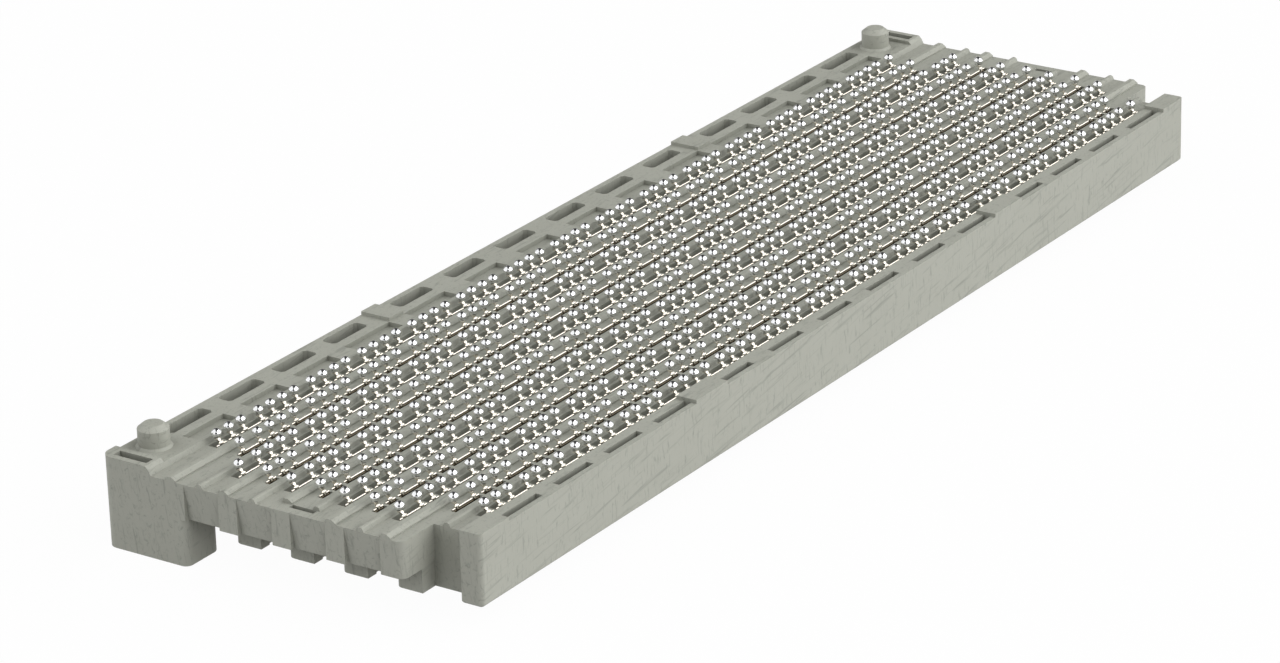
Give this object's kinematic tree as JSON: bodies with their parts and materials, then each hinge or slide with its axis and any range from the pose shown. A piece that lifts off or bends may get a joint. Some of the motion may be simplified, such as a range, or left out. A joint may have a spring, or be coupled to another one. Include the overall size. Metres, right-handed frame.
{
  "type": "board to board connector",
  "caption": "Low mezzanine connector: a long grey moulded housing with staggered rows of stitched contacts, solder balls on its board side and two locating pegs.",
  "frame": {"origin": "centre of the bounding box in plan, at the level of the lowest faces of the mating side", "axes": "+X along the rows of solder balls, +Y across them towards the locating pegs, +Z towards the circuit board that the balls are soldered to"},
  "size_m": [0.0678, 0.02, 0.0055],
  "materials": {
    "housing": "matt moulded plastic",
    "terminals": "gold-plated copper alloy",
    "solder": "bright solder"
  },
  "bodies": {
    "root": {"housing": "housing", "signal_terminals_row_01": "terminals", "signal_terminals_row_02": "terminals", "signal_terminals_row_03": "terminals", "signal_terminals_row_04": "terminals", "signal_terminals_row_05": "terminals", "signal_terminals_row_06": "terminals", "signal_terminals_row_07": "terminals", "signal_terminals_row_08": "terminals", "signal_terminals_row_09": "terminals", "signal_terminals_row_10": "terminals", "signal_terminals_row_11": "terminals", "ground_terminals_row_01": "terminals", "ground_terminals_row_02": "terminals", "ground_terminals_row_03": "terminals", "ground_terminals_row_04": "terminals", "ground_terminals_row_05": "terminals", "ground_terminals_row_06": "terminals", "ground_terminals_row_07": "terminals", "ground_terminals_row_08": "terminals", "ground_terminals_row_09": "terminals", "ground_terminals_row_10": "terminals", "ground_terminals_row_11": "terminals", "solder_balls_row_01": "solder", "solder_balls_row_02": "solder", "solder_balls_row_03": "solder", "solder_balls_row_04": "solder", "solder_balls_row_05": "solder", "solder_balls_row_06": "solder", "solder_balls_row_07": "solder", "solder_balls_row_08": "solder", "solder_balls_row_09": "solder", "solder_balls_row_10": "solder", "solder_balls_row_11": "solder"}
  },
  "joints": []
}
